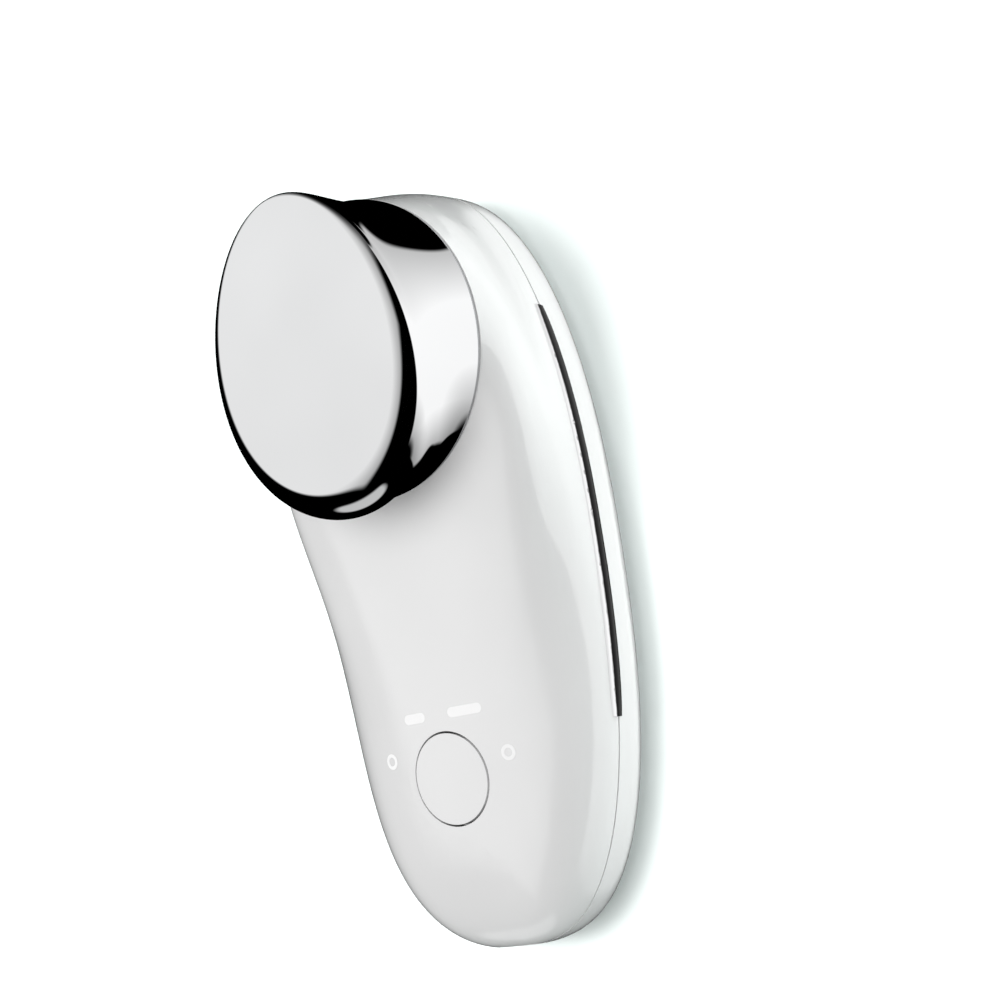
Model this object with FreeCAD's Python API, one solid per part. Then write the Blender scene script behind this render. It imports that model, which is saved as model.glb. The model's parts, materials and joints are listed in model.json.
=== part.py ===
import FreeCAD, Part
import math
import os

from FreeCAD import Placement, Rotation, Vector

# Face and neck massager lying on its back, in millimetres.
# +Y runs toward the head end, +Z out of the front; the origin is on the table under the middle.

# Body: plan outline at the seam between the front shell and the rear cover
LENGTH = 132.0
HALF_WIDTH = 28.4
TAIL_SWELL = 0.05
TAIL_FULLNESS = 2.5
HEAD_FULLNESS = 2.2
SEAM_HEIGHT = 11.0
WALL = 2.0

# Front skin: how it rises from the seam and meets the head seat, at the tail, sides and head end
TAIL_RISE = 13.1
SIDE_RISE = 0.3
HEAD_RISE = 8.0
TAIL_DROP = 4.3
SIDE_DROP = 10.8
HEAD_DROP = 6.0
TAIL_FLARE = 16.0
SIDE_FLARE = -0.8
HEAD_FLARE = 0.5
SEAT_LAG = 0.36
SKIN_BLEND = 3.0

# Waist of the handle: what the tail quarters add to the rise, drop and flare, and how far
# the skin's middle is drawn in and down there
QUARTER_RISE = 12.6
QUARTER_DROP = -4.9
QUARTER_FLARE = 13.4
WAIST_IN = 23.4
WAIST_DOWN = 17.9

# Rear cover: depth of its rounded edge and the width of that edge in plan
COVER_TURN = 6.4
COVER_ROUND = 10.3
SEAM_GROOVE = 0.35
GROOVE_DEPTH = 0.6
TONGUE_GAP = 0.4
TONGUE = 1.0
TONGUE_RISE = 2.0
TONGUE_ROOT = 2.5

# Head seat on the front shell
SEAT_SETBACK = 3.3
SEAT_HEIGHT = 31.7
SEAT_TILT = 5.2
SEAT_MARGIN = 2.4
SEAT_HALF_LENGTH = 25.6
SEAT_PINCH = -0.02
WEB = 2.0

# Massage head: a cast cup standing on a gasket
GASKET = 0.8
GASKET_BAND = 1.8
GASKET_SETBACK = 0.2
HEAD_HEIGHT = 15.0
FACE_SHIFT = 1.7
FACE_HALF_WIDTH = 18.8
FACE_HALF_LENGTH = 24.4
FACE_PINCH = 0.08
RIM_RADIUS = 3.2
RIM_TAIL_GAIN = 2.2
FLARE_RISE = 4.0
FLARE_IN = 1.6
GIRTH_DROP = 3.0
HEAD_WALL = 2.6
FACE_WALL = 1.6
HEAD_POST = 2.6
HEAD_POST_MARGIN = 11.5
HEAD_POST_TAIL = 13.0
HEAD_POST_TOP = 18.0

# Heater under the face
HEATER_HALF_WIDTH = 13.0
HEATER_HALF_LENGTH = 12.0
HEATER = 1.0
PAD = 3.0
PAD_INSET = 2.5
SENSOR_SIDE = 2.4
SENSOR_HEIGHT = 1.4

# Vibration motor and its cradle, hung under the seat
MOTOR_RADIUS = 5.0
MOTOR_LENGTH = 16.0
MOTOR_TAILWARD = 7.3
CRADLE_ROOF = 1.6
CRADLE_CHEEK = 2.0
CRADLE_GRIP = 2.5
CRADLE_LENGTH = 11.0
CRADLE_EAR = 6.5
CRADLE_EAR_THICK = 3.6
CRADLE_EAR_HALF = 4.0
SHAFT_RADIUS = 0.8
SHAFT_FIT = 0.05
SHAFT_SEAT = 7.0
WEIGHT_RADIUS = 4.3
WEIGHT_HUB = 1.8
WEIGHT_LENGTH = 6.0
WEIGHT_GAP = 1.2
SHAFT_TIP = 0.8

# Contact strips let into both sides along the seam
STRIP_HEAD_ANGLE = 37.0
STRIP_TAIL_ANGLE = -26.0
STRIP_HALF_HEIGHT = 1.6
STRIP_PROUD = 0.2
STRIP_LEAN = 6.0
STRIP_DEPTH = 1.2
STRIP_GAP = 0.1
STRIP_STATIONS = 13
STRIP_END = 0.75
STRIP_END_CURVE = 12
PEG_RADIUS = 0.9
PEG_REACH = 5.6
PEG_GAP = 0.15
PEG_ANGLES = (-11.0, 15.0)
LEAF = 0.3
LEAF_WIDTH = 4.0

# Thumb button
BUTTON_FROM_TAIL = 29.6
BUTTON_RADIUS = 7.75
BUTTON_GAP = 0.35
BUTTON_PROUD = 0.1
BUTTON_TOP = 1.6
BUTTON_WALL = 1.3
BUTTON_FLANGE = 1.4
FLANGE_THICK = 0.9
FLANGE_GAP = 0.3
COLLAR_DEPTH = 4.2
COLLAR_WALL = 1.5
STEM_RADIUS = 1.9
RIB = 1.2

# Light bars beside the button
LIGHT_FROM_BUTTON = 11.0
LIGHT_WIDTH = 1.7
LIGHT_CENTRE = 5.6
SHORT_LIGHT = 4.8
LONG_LIGHT = 7.2

# Main board and what it carries
BOARD = 1.2
BOARD_HALF_WIDTH = 15.0
BOARD_FROM_TAIL = 4.8
BOARD_TAPER = 16.0
BOARD_LENGTH = 63.0
BOARD_NOSE = 5.6
BOARD_SCREW_X = 11.5
BOARD_SCREW_TAIL = 25.0
BOARD_SCREW_HEAD = 60.0
BOSS_RADIUS = 2.4
SWITCH_SIDE = 6.0
SWITCH_HEIGHT = 3.2
PLUNGER_RADIUS = 1.7
PLUNGER_FIT = 0.05
PLUNGER_RISE = 1.0
PLUNGER_DEPTH = 2.2
PLUNGER_FLOOR = 0.8
LED_SIDE = 2.0
LED_HEIGHT = 0.8
CHIP_SIDE = 7.0
CHIP_HEIGHT = 1.0
CHIP_FROM_HEAD = 17.0
COIL_RADIUS = 2.8
COIL_HEIGHT = 3.2
COIL_X = 9.0
PLUG_SIZE = (8.0, 5.0, 3.2)
PLUG_FROM_HEAD = 1.0

# Charging socket in the tail end
SOCKET_WIDTH = 8.94
SOCKET_THICK = 3.26
SOCKET_DEPTH = 7.4
SOCKET_WALL = 0.3
SOCKET_RECESS = 0.6
SOCKET_GAP = 0.2
SOCKET_BACK = 1.2
TONGUE_BLADE = (6.2, 0.7)
BLADE_SETBACK = 0.8

# Battery in the rear cover
CELL_SIZE = (26.0, 34.0, 6.0)
CELL_FROM_TAIL = 24.0
CELL_CORNER = 1.2
FOAM = 1.0
CELL_RIB = 1.2
CELL_RIB_RISE = 4.0

# Screws and the plugs that hide the case screws
COLUMN_RADIUS = 2.9
COLUMN_GAP = 0.4
CASE_X = 7.0
CASE_TAIL = 18.0
CASE_HEAD = 20.0
CASE_SHANK = 1.1
CASE_HEAD_RADIUS = 2.0
CASE_HEAD_THICK = 1.5
CASE_SINK = 5.5
CASE_BITE = 6.0
SINK_RADIUS = 2.4
PLUG_THICK = 2.0
PLUG_RECESS = 0.15
SMALL_SHANK = 0.85
SMALL_HEAD = 1.6
SMALL_HEAD_THICK = 1.1
SMALL_BITE = 4.5
SHANK_GAP = 0.2
SLOT_SHARE = 1.3
SLOT_WIDTH = 0.6
SLOT_DEPTH = 0.6

# Two-core ribbon leads
LEAD_THICK = 1.2
LEAD_WIDTH = 2.4
LEAD_BEND = 6.0
LEAD_HOLE_GAP = 0.6

RING_POINTS = 32
SMALL_TURN = 0.001
OVERRUN = 1.0
ANGLES = [2 * math.pi * i / RING_POINTS for i in range(RING_POINTS)]
UP = Vector(0, 0, 1)
TAIL = -LENGTH / 2
BUTTON_Y = TAIL + BUTTON_FROM_TAIL
BUTTON_HOLE = BUTTON_RADIUS + BUTTON_GAP
SEAT_HALF_WIDTH = HALF_WIDTH - SEAT_MARGIN
HEAD_POST_SPREAD = SEAT_HALF_WIDTH - HEAD_POST_MARGIN
SEAT_Y = LENGTH / 2 - SEAT_SETBACK - SEAT_HALF_LENGTH
SEAT = Placement(Vector(0, SEAT_Y, SEAT_HEIGHT), Rotation(Vector(1, 0, 0), SEAT_TILT))
SEAT_NORMAL = SEAT.Rotation.multVec(UP)
BOARD_BOTTOM = SEAM_HEIGHT + SOCKET_THICK / 2
BOARD_TOP = BOARD_BOTTOM + BOARD
BOARD_HEAD = TAIL + BOARD_FROM_TAIL + BOARD_LENGTH
FAR = LENGTH

os.makedirs("parts", exist_ok=True)


def save(name, shape):
    shape.exportStep("parts/" + name + ".step")


def rod(base, radius, length, direction=UP):
    return Part.makeCylinder(radius, length, base, direction)


def block(size, centre, bottom):
    """Box standing on bottom, centred on centre in plan."""
    corner = Vector(centre[0] - size[0] / 2, centre[1] - size[1] / 2, bottom)
    return Part.makeBox(size[0], size[1], size[2], corner)


def outline(angle, inset=0.0, height=SEAM_HEIGHT):
    """Point of the body's plan outline, drawn in by inset."""
    across = math.cos(angle)
    along = math.sin(angle)
    power = TAIL_FULLNESS + (HEAD_FULLNESS - TAIL_FULLNESS) * (1 + along) / 2
    reach = (abs(across) ** power + abs(along) ** power) ** (-1 / power)
    x = (HALF_WIDTH - inset) * reach * across * (1 - TAIL_SWELL * along * reach)
    y = (LENGTH / 2 - inset) * reach * along
    return Vector(x, y, height)


def outline_normal(angle):
    """Direction square to the outline, pointing out of the body."""
    run = outline(angle + SMALL_TURN) - outline(angle - SMALL_TURN)
    return Vector(run.y, -run.x, 0).normalize()


def seat_egg(angle, inset=0.0, height=0.0):
    """Point of the head seat's egg outline, at a height above the seat plane."""
    x = (SEAT_HALF_WIDTH - inset) * math.cos(angle) * (1 - SEAT_PINCH * math.sin(angle))
    y = (SEAT_HALF_LENGTH - inset) * math.sin(angle)
    return SEAT.multVec(Vector(x, y, height))


def face_egg(angle, grow=0.0, height=HEAD_HEIGHT):
    """Point of the working face's egg outline, at a height above the seat plane."""
    x = (FACE_HALF_WIDTH + grow) * math.cos(angle) * (1 - FACE_PINCH * math.sin(angle))
    y = FACE_SHIFT + (FACE_HALF_LENGTH + grow) * math.sin(angle)
    return SEAT.multVec(Vector(x, y, height))


def outward(ring, index):
    """Direction square to a ring in plan, pointing out of it."""
    run = ring[(index + 1) % len(ring)] - ring[index - 1]
    return Vector(run.y, -run.x, 0).normalize()


def skin(rings):
    """Smooth closed skin steered by control rings; it starts on the first and ends on the last."""
    columns = []
    for ring in rings:
        curve = Part.BSplineCurve()
        turns = [i / len(ring) for i in range(len(ring) + 1)]
        curve.interpolate(Points=ring, PeriodicFlag=True, Parameters=turns)
        columns.append(curve.getPoles())
    poles = [list(row) for row in zip(*columns)]
    degree = len(rings) - 1
    surface = Part.BSplineSurface()
    surface.buildFromPolesMultsKnots(
        poles, curve.getMultiplicities(), [degree + 1, degree + 1], curve.getKnots(), [0, 1],
        True, False, curve.Degree, degree)
    return surface


def flat_end(surface, end):
    return Part.Face(Part.Wire(surface.vIso(end).toShape()))


def close(faces):
    """Solid enclosed by faces that meet along their edges."""
    shell = Part.Shell(faces)
    shell.sewShape()
    solid = Part.Solid(shell)
    if solid.Volume < 0:
        solid.reverse()
    return solid


def skin_solid(rings):
    surface = skin(rings)
    return close([surface.toShape(), flat_end(surface, 0), flat_end(surface, 1)])


def slab(point, low, high, inset):
    """Flat plate with an egg or body outline."""
    return skin_solid([[point(a, inset, low) for a in ANGLES], [point(a, inset, high) for a in ANGLES]])


def band(point, low, high, outer, inner):
    return slab(point, low, high, outer).cut(slab(point, low, high, inner))


def front_body(inset):
    """The space under the front skin, from the seam up to the head seat."""
    feet = [outline(a, inset) for a in ANGLES]
    lags = [a - SEAT_LAG * (1 + math.sin(a)) / 2 * math.sin(2 * a) for a in ANGLES]
    seats = [seat_egg(a, inset, -inset * WEB / WALL) for a in lags]
    low = []
    middle = []
    high = []
    for i, angle in enumerate(ANGLES):
        tail = ((1 - math.sin(angle)) / 2) ** SKIN_BLEND
        head = ((1 + math.sin(angle)) / 2) ** SKIN_BLEND
        side = 1 - tail - head
        quarter = (math.sin(2 * angle) * (1 - math.sin(angle)) / 2) ** 2
        rise = TAIL_RISE * tail + SIDE_RISE * side + HEAD_RISE * head + QUARTER_RISE * quarter - inset
        drop = TAIL_DROP * tail + SIDE_DROP * side + HEAD_DROP * head + QUARTER_DROP * quarter
        flare = TAIL_FLARE * tail + SIDE_FLARE * side + HEAD_FLARE * head + QUARTER_FLARE * quarter
        away = outward(seats, i)
        low.append(feet[i] + UP * rise)
        high.append(seats[i] - SEAT_NORMAL * drop + away * flare)
        middle.append((low[i] + high[i]) * 0.5 - away * WAIST_IN * quarter - UP * WAIST_DOWN * quarter)
    return skin_solid([feet, low, middle, high, seats])


def rear_body(inset, rim):
    """The space inside the rear cover's skin, up to the height of its rim."""
    rings = [[], [], [], []]
    for angle in ANGLES:
        rings[0].append(outline(angle, inset, rim))
        rings[1].append(outline(angle, inset, SEAM_HEIGHT - COVER_TURN + inset / 2))
        rings[2].append(outline(angle, inset, inset))
        rings[3].append(outline(angle, inset / 2 + COVER_ROUND, inset))
    return skin_solid(rings)


def strip_bar(grow):
    """Right-hand contact strip, bowed and leaning under; grow widens it for its slot."""
    sections = []
    for i in range(STRIP_STATIONS):
        share = i / (STRIP_STATIONS - 1)
        angle = math.radians(STRIP_TAIL_ANGLE + (STRIP_HEAD_ANGLE - STRIP_TAIL_ANGLE) * share)
        ends = abs(2 * share - 1) ** STRIP_END_CURVE
        half = STRIP_HALF_HEIGHT * (1 - (1 - STRIP_END) * ends) + grow
        normal = outline_normal(angle)
        rim = outline(angle)
        back = rim - normal * STRIP_DEPTH
        lean = normal * (half * math.tan(math.radians(STRIP_LEAN)))
        crest = rim + normal * (STRIP_PROUD + grow)
        corners = [back - UP * half, rim - lean - UP * half, rim + lean + UP * half, back + UP * half]
        bow = Part.Arc(corners[1], crest, corners[2]).toShape()
        sides = [Part.makeLine(corners[0], corners[1]), bow, Part.makeLine(corners[2], corners[3])]
        sections.append(Part.Wire(sides + [Part.makeLine(corners[3], corners[0])]))
    return Part.makeLoft(sections, True)


def strip_pegs(grow):
    pegs = []
    for degrees in PEG_ANGLES:
        angle = math.radians(degrees)
        normal = outline_normal(angle)
        start = outline(angle) - normal * (STRIP_DEPTH / 2)
        pegs.append(rod(start, PEG_RADIUS + grow, PEG_REACH + grow, normal * -1))
    return pegs


def mirrored(shape):
    return shape.mirror(Vector(0, 0, 0), Vector(1, 0, 0))


def stadium(width, thick, start, length):
    """Flat-sided bar with round edges, running along +Y from start."""
    half = width / 2 - thick / 2
    core = Part.makeBox(2 * half, length, thick, start - Vector(half, 0, thick / 2))
    left = rod(start - Vector(half, 0, 0), thick / 2, length, Vector(0, 1, 0))
    right = rod(start + Vector(half, 0, 0), thick / 2, length, Vector(0, 1, 0))
    return core.multiFuse([left, right]).removeSplitter()


def light_prism(x, length):
    """Upright bar with rounded ends, standing where a light shows through the shell."""
    half = (length - LIGHT_WIDTH) / 2
    y = BUTTON_Y + LIGHT_FROM_BUTTON
    core = block((2 * half, LIGHT_WIDTH, FAR), (x, y), BOARD_TOP + LED_HEIGHT)
    ends = [rod(Vector(x + s * half, y, BOARD_TOP + LED_HEIGHT), LIGHT_WIDTH / 2, FAR) for s in (-1, 1)]
    return core.multiFuse(ends).removeSplitter()


def screw(seat, direction, shank, bite, head, thick):
    """Pan-head screw with a cross slot; its head rests on seat and its shank runs along direction."""
    turn = Placement(seat, Rotation(UP, direction))
    body = rod(Vector(0, 0, 0), shank, bite).fuse(rod(Vector(0, 0, -thick), head, thick))
    for angle in (0, 90):
        slot = block((SLOT_SHARE * head, SLOT_WIDTH, SLOT_DEPTH), (0, 0), -thick)
        slot.rotate(Vector(0, 0, 0), UP, angle)
        body = body.cut(slot)
    body.Placement = turn
    return body


def ribbon(points, width, left, right):
    """Ribbon lead bent in a fore-and-aft plane, between two distances from the centre line."""
    edges = ([], [])
    for i, point in enumerate(points):
        before = (point - points[i - 1]).normalize() if i else None
        after = (points[i + 1] - point).normalize() if i + 1 < len(points) else None
        run = ((before or after) + (after or before)).normalize()
        side = Vector(0, -run.z, run.y)
        mitre = width / 2 / run.dot(before or after)
        edges[0].append(point + side * mitre)
        edges[1].insert(0, point - side * mitre)
    corners = [Vector(left, p.y, p.z) for p in edges[0] + edges[1]]
    return Part.Face(Part.makePolygon(corners + corners[:1])).extrude(Vector(right - left, 0, 0))


def front_height(y):
    """Height of the front skin on the centre line."""
    foot = outline(-math.pi / 2)
    seat = seat_egg(-math.pi / 2)
    low = foot + UP * TAIL_RISE
    high = seat - SEAT_NORMAL * TAIL_DROP - Vector(0, TAIL_FLARE, 0)
    net = [foot, low, (low + high) * 0.5, high, seat]
    curve = Part.BezierCurve()
    curve.setPoles(net)
    line = Part.makeLine(Vector(0, y, 0), Vector(0, y, FAR))
    return curve.toShape().distToShape(line)[1][0][0].z


# Screw places, each in plan
case_places = []
board_places = []
for side in (-1, 1):
    case_places.append((side * CASE_X, TAIL + CASE_TAIL))
    case_places.append((side * CASE_X, LENGTH / 2 - CASE_HEAD))
    board_places.append((side * BOARD_SCREW_X, TAIL + BOARD_SCREW_TAIL))
    board_places.append((side * BOARD_SCREW_X, TAIL + BOARD_SCREW_HEAD))
head_places = [(0, HEAD_POST_TOP)]
head_places += [(side * HEAD_POST_SPREAD, -HEAD_POST_TAIL) for side in (-1, 1)]
ear_offset = MOTOR_RADIUS + CRADLE_CHEEK + CRADLE_EAR / 2
cradle_places = [(0, -MOTOR_TAILWARD - ear_offset), (0, -MOTOR_TAILWARD + ear_offset)]
light_places = [(-LIGHT_CENTRE, SHORT_LIGHT), (LIGHT_CENTRE, LONG_LIGHT)]

heater_lead_x = -HEATER_HALF_WIDTH + PAD_INSET / 2
button_skin = front_height(BUTTON_Y)
collar_bottom = button_skin - COLLAR_DEPTH
button_axis = Vector(0, BUTTON_Y, 0)
socket_mouth = Vector(0, TAIL + SOCKET_RECESS, SEAM_HEIGHT)

# Front shell: moulded skin with a closed head seat, screw columns, board bosses and a button collar
outer = front_body(0)
inner = front_body(WALL)
hollow = outer.cut(inner)
additions = []
for x, y in case_places:
    additions.append(rod(Vector(x, y, SEAM_HEIGHT), COLUMN_RADIUS, FAR).common(outer))
for x, y in board_places:
    additions.append(rod(Vector(x, y, BOARD_TOP), BOSS_RADIUS, FAR).common(outer))
collar = rod(button_axis + UP * collar_bottom, BUTTON_HOLE + COLLAR_WALL, FAR).common(outer)
additions.append(collar)
shell = hollow.multiFuse(additions)
openings = [rod(button_axis, BUTTON_HOLE, FAR)]
for x, length in light_places:
    openings.append(light_prism(x, length))
for x, y in case_places:
    openings.append(rod(Vector(x, y, SEAM_HEIGHT), CASE_SHANK, CASE_BITE))
for x, y in board_places:
    openings.append(rod(Vector(x, y, BOARD_TOP), SMALL_SHANK, SMALL_BITE))
for x, y in head_places + cradle_places:
    foot = SEAT.multVec(Vector(x, y, -WEB - OVERRUN))
    openings.append(rod(foot, SMALL_SHANK + SHANK_GAP, WEB + 2 * OVERRUN, SEAT_NORMAL))
lead_hole = SEAT.multVec(Vector(heater_lead_x, FACE_SHIFT, -WEB - OVERRUN))
openings.append(rod(lead_hole, LEAD_WIDTH / 2 + LEAD_HOLE_GAP, WEB + 2 * OVERRUN, SEAT_NORMAL))
slots = [strip_bar(STRIP_GAP)] + strip_pegs(PEG_GAP)
slots = slots + [mirrored(s) for s in slots]
socket_slot = stadium(SOCKET_WIDTH + 2 * SOCKET_GAP, SOCKET_THICK + 2 * SOCKET_GAP,
                      socket_mouth - Vector(0, WALL, 0), SOCKET_DEPTH + WALL)
shell = shell.cut(openings + slots + [socket_slot])
save("front_shell", shell)

# Rear cover: shallow tub with a groove at the seam, a tongue inside it, columns and battery ribs
rim = SEAM_HEIGHT - SEAM_GROOVE
tub = rear_body(0, rim).cut(rear_body(WALL, SEAM_HEIGHT))
land = band(outline, rim, SEAM_HEIGHT, GROOVE_DEPTH, WALL)
tongue = band(outline, SEAM_HEIGHT - TONGUE_ROOT, SEAM_HEIGHT + TONGUE_RISE,
              WALL + TONGUE_GAP, WALL + TONGUE_GAP + TONGUE)
root = band(outline, SEAM_HEIGHT - TONGUE_ROOT, SEAM_HEIGHT, WALL / 2, WALL + TONGUE_GAP + TONGUE)
cell_y = TAIL + CELL_FROM_TAIL + CELL_SIZE[1] / 2
fence = (CELL_SIZE[0] + 2 * CELL_RIB, CELL_SIZE[1] + 2 * CELL_RIB, CELL_RIB_RISE + WALL / 2)
ribs = block(fence, (0, cell_y), WALL / 2).cut(block((CELL_SIZE[0], CELL_SIZE[1], FAR), (0, cell_y), 0))
columns = []
for x, y in case_places:
    columns.append(rod(Vector(x, y, WALL / 2), COLUMN_RADIUS, SEAM_HEIGHT - WALL / 2))
cover = tub.multiFuse([land, root, tongue, ribs] + columns)
sinks = []
for x, y in case_places:
    sinks.append(rod(Vector(x, y, -OVERRUN), CASE_SHANK + SHANK_GAP, FAR))
    sinks.append(rod(Vector(x, y, -OVERRUN), SINK_RADIUS, CASE_SINK + OVERRUN))
cover = cover.cut(sinks + slots + [socket_slot])
save("rear_cover", cover)

# Massage head: plated cup with a flared foot, a bulging girth, a rounded rim and a flat face
foot_ring = [seat_egg(a, 0, GASKET) for a in ANGLES]
flare_ring = []
girth_ring = []
drop_ring = []
turn_ring = []
edge_turn = []
face_ring = [face_egg(a) for a in ANGLES]
quarter = 4 * (math.sqrt(2) - 1) / 3
for i, angle in enumerate(ANGLES):
    radius = RIM_RADIUS - RIM_TAIL_GAIN * math.sin(angle)
    girth = face_egg(angle, radius, HEAD_HEIGHT - radius)
    flare_ring.append(foot_ring[i] + SEAT_NORMAL * FLARE_RISE - outward(foot_ring, i) * FLARE_IN)
    drop_ring.append(girth - SEAT_NORMAL * GIRTH_DROP)
    girth_ring.append(girth)
    turn_ring.append(girth + SEAT_NORMAL * radius * quarter)
    edge_turn.append(face_egg(angle, radius * quarter))
side_skin = skin([foot_ring, flare_ring, drop_ring, girth_ring])
rim_skin = skin([girth_ring, turn_ring, edge_turn, face_ring])
head_outer = close([flat_end(side_skin, 0), side_skin.toShape(), rim_skin.toShape(), flat_end(rim_skin, 1)])
roof = HEAD_HEIGHT - FACE_WALL
cavity = skin_solid([[seat_egg(a, HEAD_WALL, -GASKET) for a in ANGLES],
                     [face_egg(a, -FACE_WALL / 2, roof) for a in ANGLES]])
posts = []
pilots = []
for x, y in head_places:
    posts.append(rod(SEAT.multVec(Vector(x, y, 0)), HEAD_POST, HEAD_HEIGHT, SEAT_NORMAL).common(head_outer))
    posts.append(rod(SEAT.multVec(Vector(x, y, 0)), HEAD_POST, GASKET, SEAT_NORMAL))
    pilots.append(rod(SEAT.multVec(Vector(x, y, -OVERRUN)), SMALL_SHANK, SMALL_BITE + OVERRUN, SEAT_NORMAL))
cup = head_outer.cut(cavity).multiFuse(posts).cut(pilots)
save("massage_head", cup)

# Gasket under the head
save("head_gasket", band(seat_egg, 0, GASKET, GASKET_SETBACK, GASKET_SETBACK + GASKET_BAND))


def heater_egg(angle, inset, height):
    x = (HEATER_HALF_WIDTH - inset) * math.cos(angle)
    y = FACE_SHIFT + (HEATER_HALF_LENGTH - inset) * math.sin(angle)
    return SEAT.multVec(Vector(x, y, height))


# Heater plate bonded under the face, its foam pad and the temperature sensor set into the pad
heater = slab(heater_egg, roof - HEATER, roof, 0)
sensor = block((SENSOR_SIDE, SENSOR_SIDE, SENSOR_HEIGHT), (0, FACE_SHIFT), roof - HEATER - SENSOR_HEIGHT)
sensor.Placement = SEAT
pad = slab(heater_egg, roof - HEATER - PAD, roof - HEATER, PAD_INSET).cut(sensor)
save("heater_plate", heater)
save("heater_pad", pad)
save("heat_sensor", sensor)

# Screws that hold the head down through the seat
head_screws = []
for x, y in head_places:
    spot = SEAT.multVec(Vector(x, y, -WEB))
    bite = WEB + SMALL_BITE
    head_screws.append(screw(spot, SEAT_NORMAL, SMALL_SHANK, bite, SMALL_HEAD, SMALL_HEAD_THICK))
save("head_screws", Part.makeCompound(head_screws))

# Motor cradle hung under the seat by two ears, with the motor snapped up into its open grip
axis_drop = -WEB - CRADLE_ROOF - MOTOR_RADIUS
motor_axis = SEAT.multVec(Vector(0, -MOTOR_TAILWARD, axis_drop))
along_x = Vector(1, 0, 0)
cheek = MOTOR_RADIUS + CRADLE_CHEEK
saddle = block((CRADLE_LENGTH, 2 * cheek, CRADLE_ROOF + MOTOR_RADIUS + CRADLE_GRIP),
               (0, -MOTOR_TAILWARD), axis_drop - CRADLE_GRIP)
ears = block((2 * CRADLE_EAR_HALF, 2 * (cheek + CRADLE_EAR), CRADLE_EAR_THICK),
             (0, -MOTOR_TAILWARD), -WEB - CRADLE_EAR_THICK)
cradle = saddle.fuse(ears).removeSplitter()
cradle.Placement = SEAT
cradle = cradle.cut(rod(motor_axis - along_x * CRADLE_LENGTH, MOTOR_RADIUS, 2 * CRADLE_LENGTH, along_x))
cradle_screws = []
for x, y in cradle_places:
    spot = SEAT.multVec(Vector(x, y, 0))
    bite = WEB + CRADLE_EAR_THICK
    cradle = cradle.cut(rod(spot, SMALL_SHANK, 2 * bite, SEAT_NORMAL * -1))
    cradle_screws.append(screw(spot, SEAT_NORMAL * -1, SMALL_SHANK, bite, SMALL_HEAD, SMALL_HEAD_THICK))
save("motor_cradle", cradle)
save("cradle_screws", Part.makeCompound(cradle_screws))

can_end = motor_axis + along_x * (MOTOR_LENGTH / 2)
can = rod(can_end - along_x * MOTOR_LENGTH, MOTOR_RADIUS, MOTOR_LENGTH, along_x)
can = can.cut(rod(can_end - along_x * (SHAFT_SEAT + WEIGHT_GAP), SHAFT_RADIUS + SHAFT_FIT, FAR, along_x))
save("motor_can", can)
shaft_length = SHAFT_SEAT + WEIGHT_GAP + WEIGHT_LENGTH + SHAFT_TIP
shaft_start = can_end - along_x * SHAFT_SEAT
save("motor_shaft", rod(shaft_start, SHAFT_RADIUS, shaft_length, along_x))
weight_start = can_end + along_x * WEIGHT_GAP
half_disc = Part.makeCylinder(WEIGHT_RADIUS, WEIGHT_LENGTH, weight_start, along_x)
half_disc = half_disc.cut(block((FAR, FAR, FAR), (weight_start.x, weight_start.y), weight_start.z))
weight = half_disc.fuse(rod(weight_start, WEIGHT_HUB, WEIGHT_LENGTH, along_x)).removeSplitter()
save("eccentric_weight", weight.cut(rod(shaft_start, SHAFT_RADIUS, shaft_length, along_x)))

# Contact strips with pegs through the case, and the spring leaves that join them to the board
right_strip = strip_bar(0).multiFuse(strip_pegs(0)).removeSplitter()
save("electrode_strip_right", right_strip)
save("electrode_strip_left", mirrored(right_strip))
peg_angle = math.radians(PEG_ANGLES[0])
peg_end = outline(peg_angle) - outline_normal(peg_angle) * (STRIP_DEPTH / 2 + PEG_REACH)
leaf_start = BOARD_HALF_WIDTH - LEAF_WIDTH
leaf_tail = peg_end.y - LEAF_WIDTH / 2
flat_leaf = Part.makeBox(peg_end.x - leaf_start, LEAF_WIDTH, LEAF,
                         Vector(leaf_start, leaf_tail, BOARD_BOTTOM - LEAF))
drop_height = BOARD_BOTTOM - SEAM_HEIGHT + 2 * PEG_RADIUS
drop_leaf = Part.makeBox(LEAF, LEAF_WIDTH, drop_height,
                         Vector(peg_end.x - LEAF, leaf_tail, BOARD_BOTTOM - drop_height))
leaf = flat_leaf.fuse(drop_leaf).removeSplitter()
save("strip_contacts", Part.makeCompound([leaf, mirrored(leaf)]))

# Thumb button: capped tube with a retaining flange, a stem and stiffening ribs
flange_top = collar_bottom - FLANGE_GAP
flange_bottom = flange_top - FLANGE_THICK
plunger_top = BOARD_TOP + SWITCH_HEIGHT + PLUNGER_RISE
proud = outer.translated(UP * BUTTON_PROUD)
under = outer.translated(UP * (BUTTON_PROUD - BUTTON_TOP))
plug = rod(button_axis + UP * flange_bottom, BUTTON_RADIUS, FAR).common(proud)
bore = rod(button_axis + UP * flange_bottom, BUTTON_RADIUS - BUTTON_WALL, FAR).common(under)
cap = plug.cut(bore)
flange = rod(button_axis + UP * flange_bottom, BUTTON_RADIUS + BUTTON_FLANGE, FLANGE_THICK)
flange = flange.cut(rod(button_axis + UP * flange_bottom, BUTTON_RADIUS - BUTTON_WALL, FLANGE_THICK))
stem = rod(button_axis + UP * plunger_top, STEM_RADIUS, FAR).common(proud)
stays = []
stay_bottom = max(flange_bottom, plunger_top)
for size in ((2 * BUTTON_RADIUS - BUTTON_WALL, RIB, FAR), (RIB, 2 * BUTTON_RADIUS - BUTTON_WALL, FAR)):
    stays.append(block(size, (0, BUTTON_Y), stay_bottom).common(proud))
save("button_cap", cap.multiFuse([flange, stem] + stays).removeSplitter())

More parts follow.
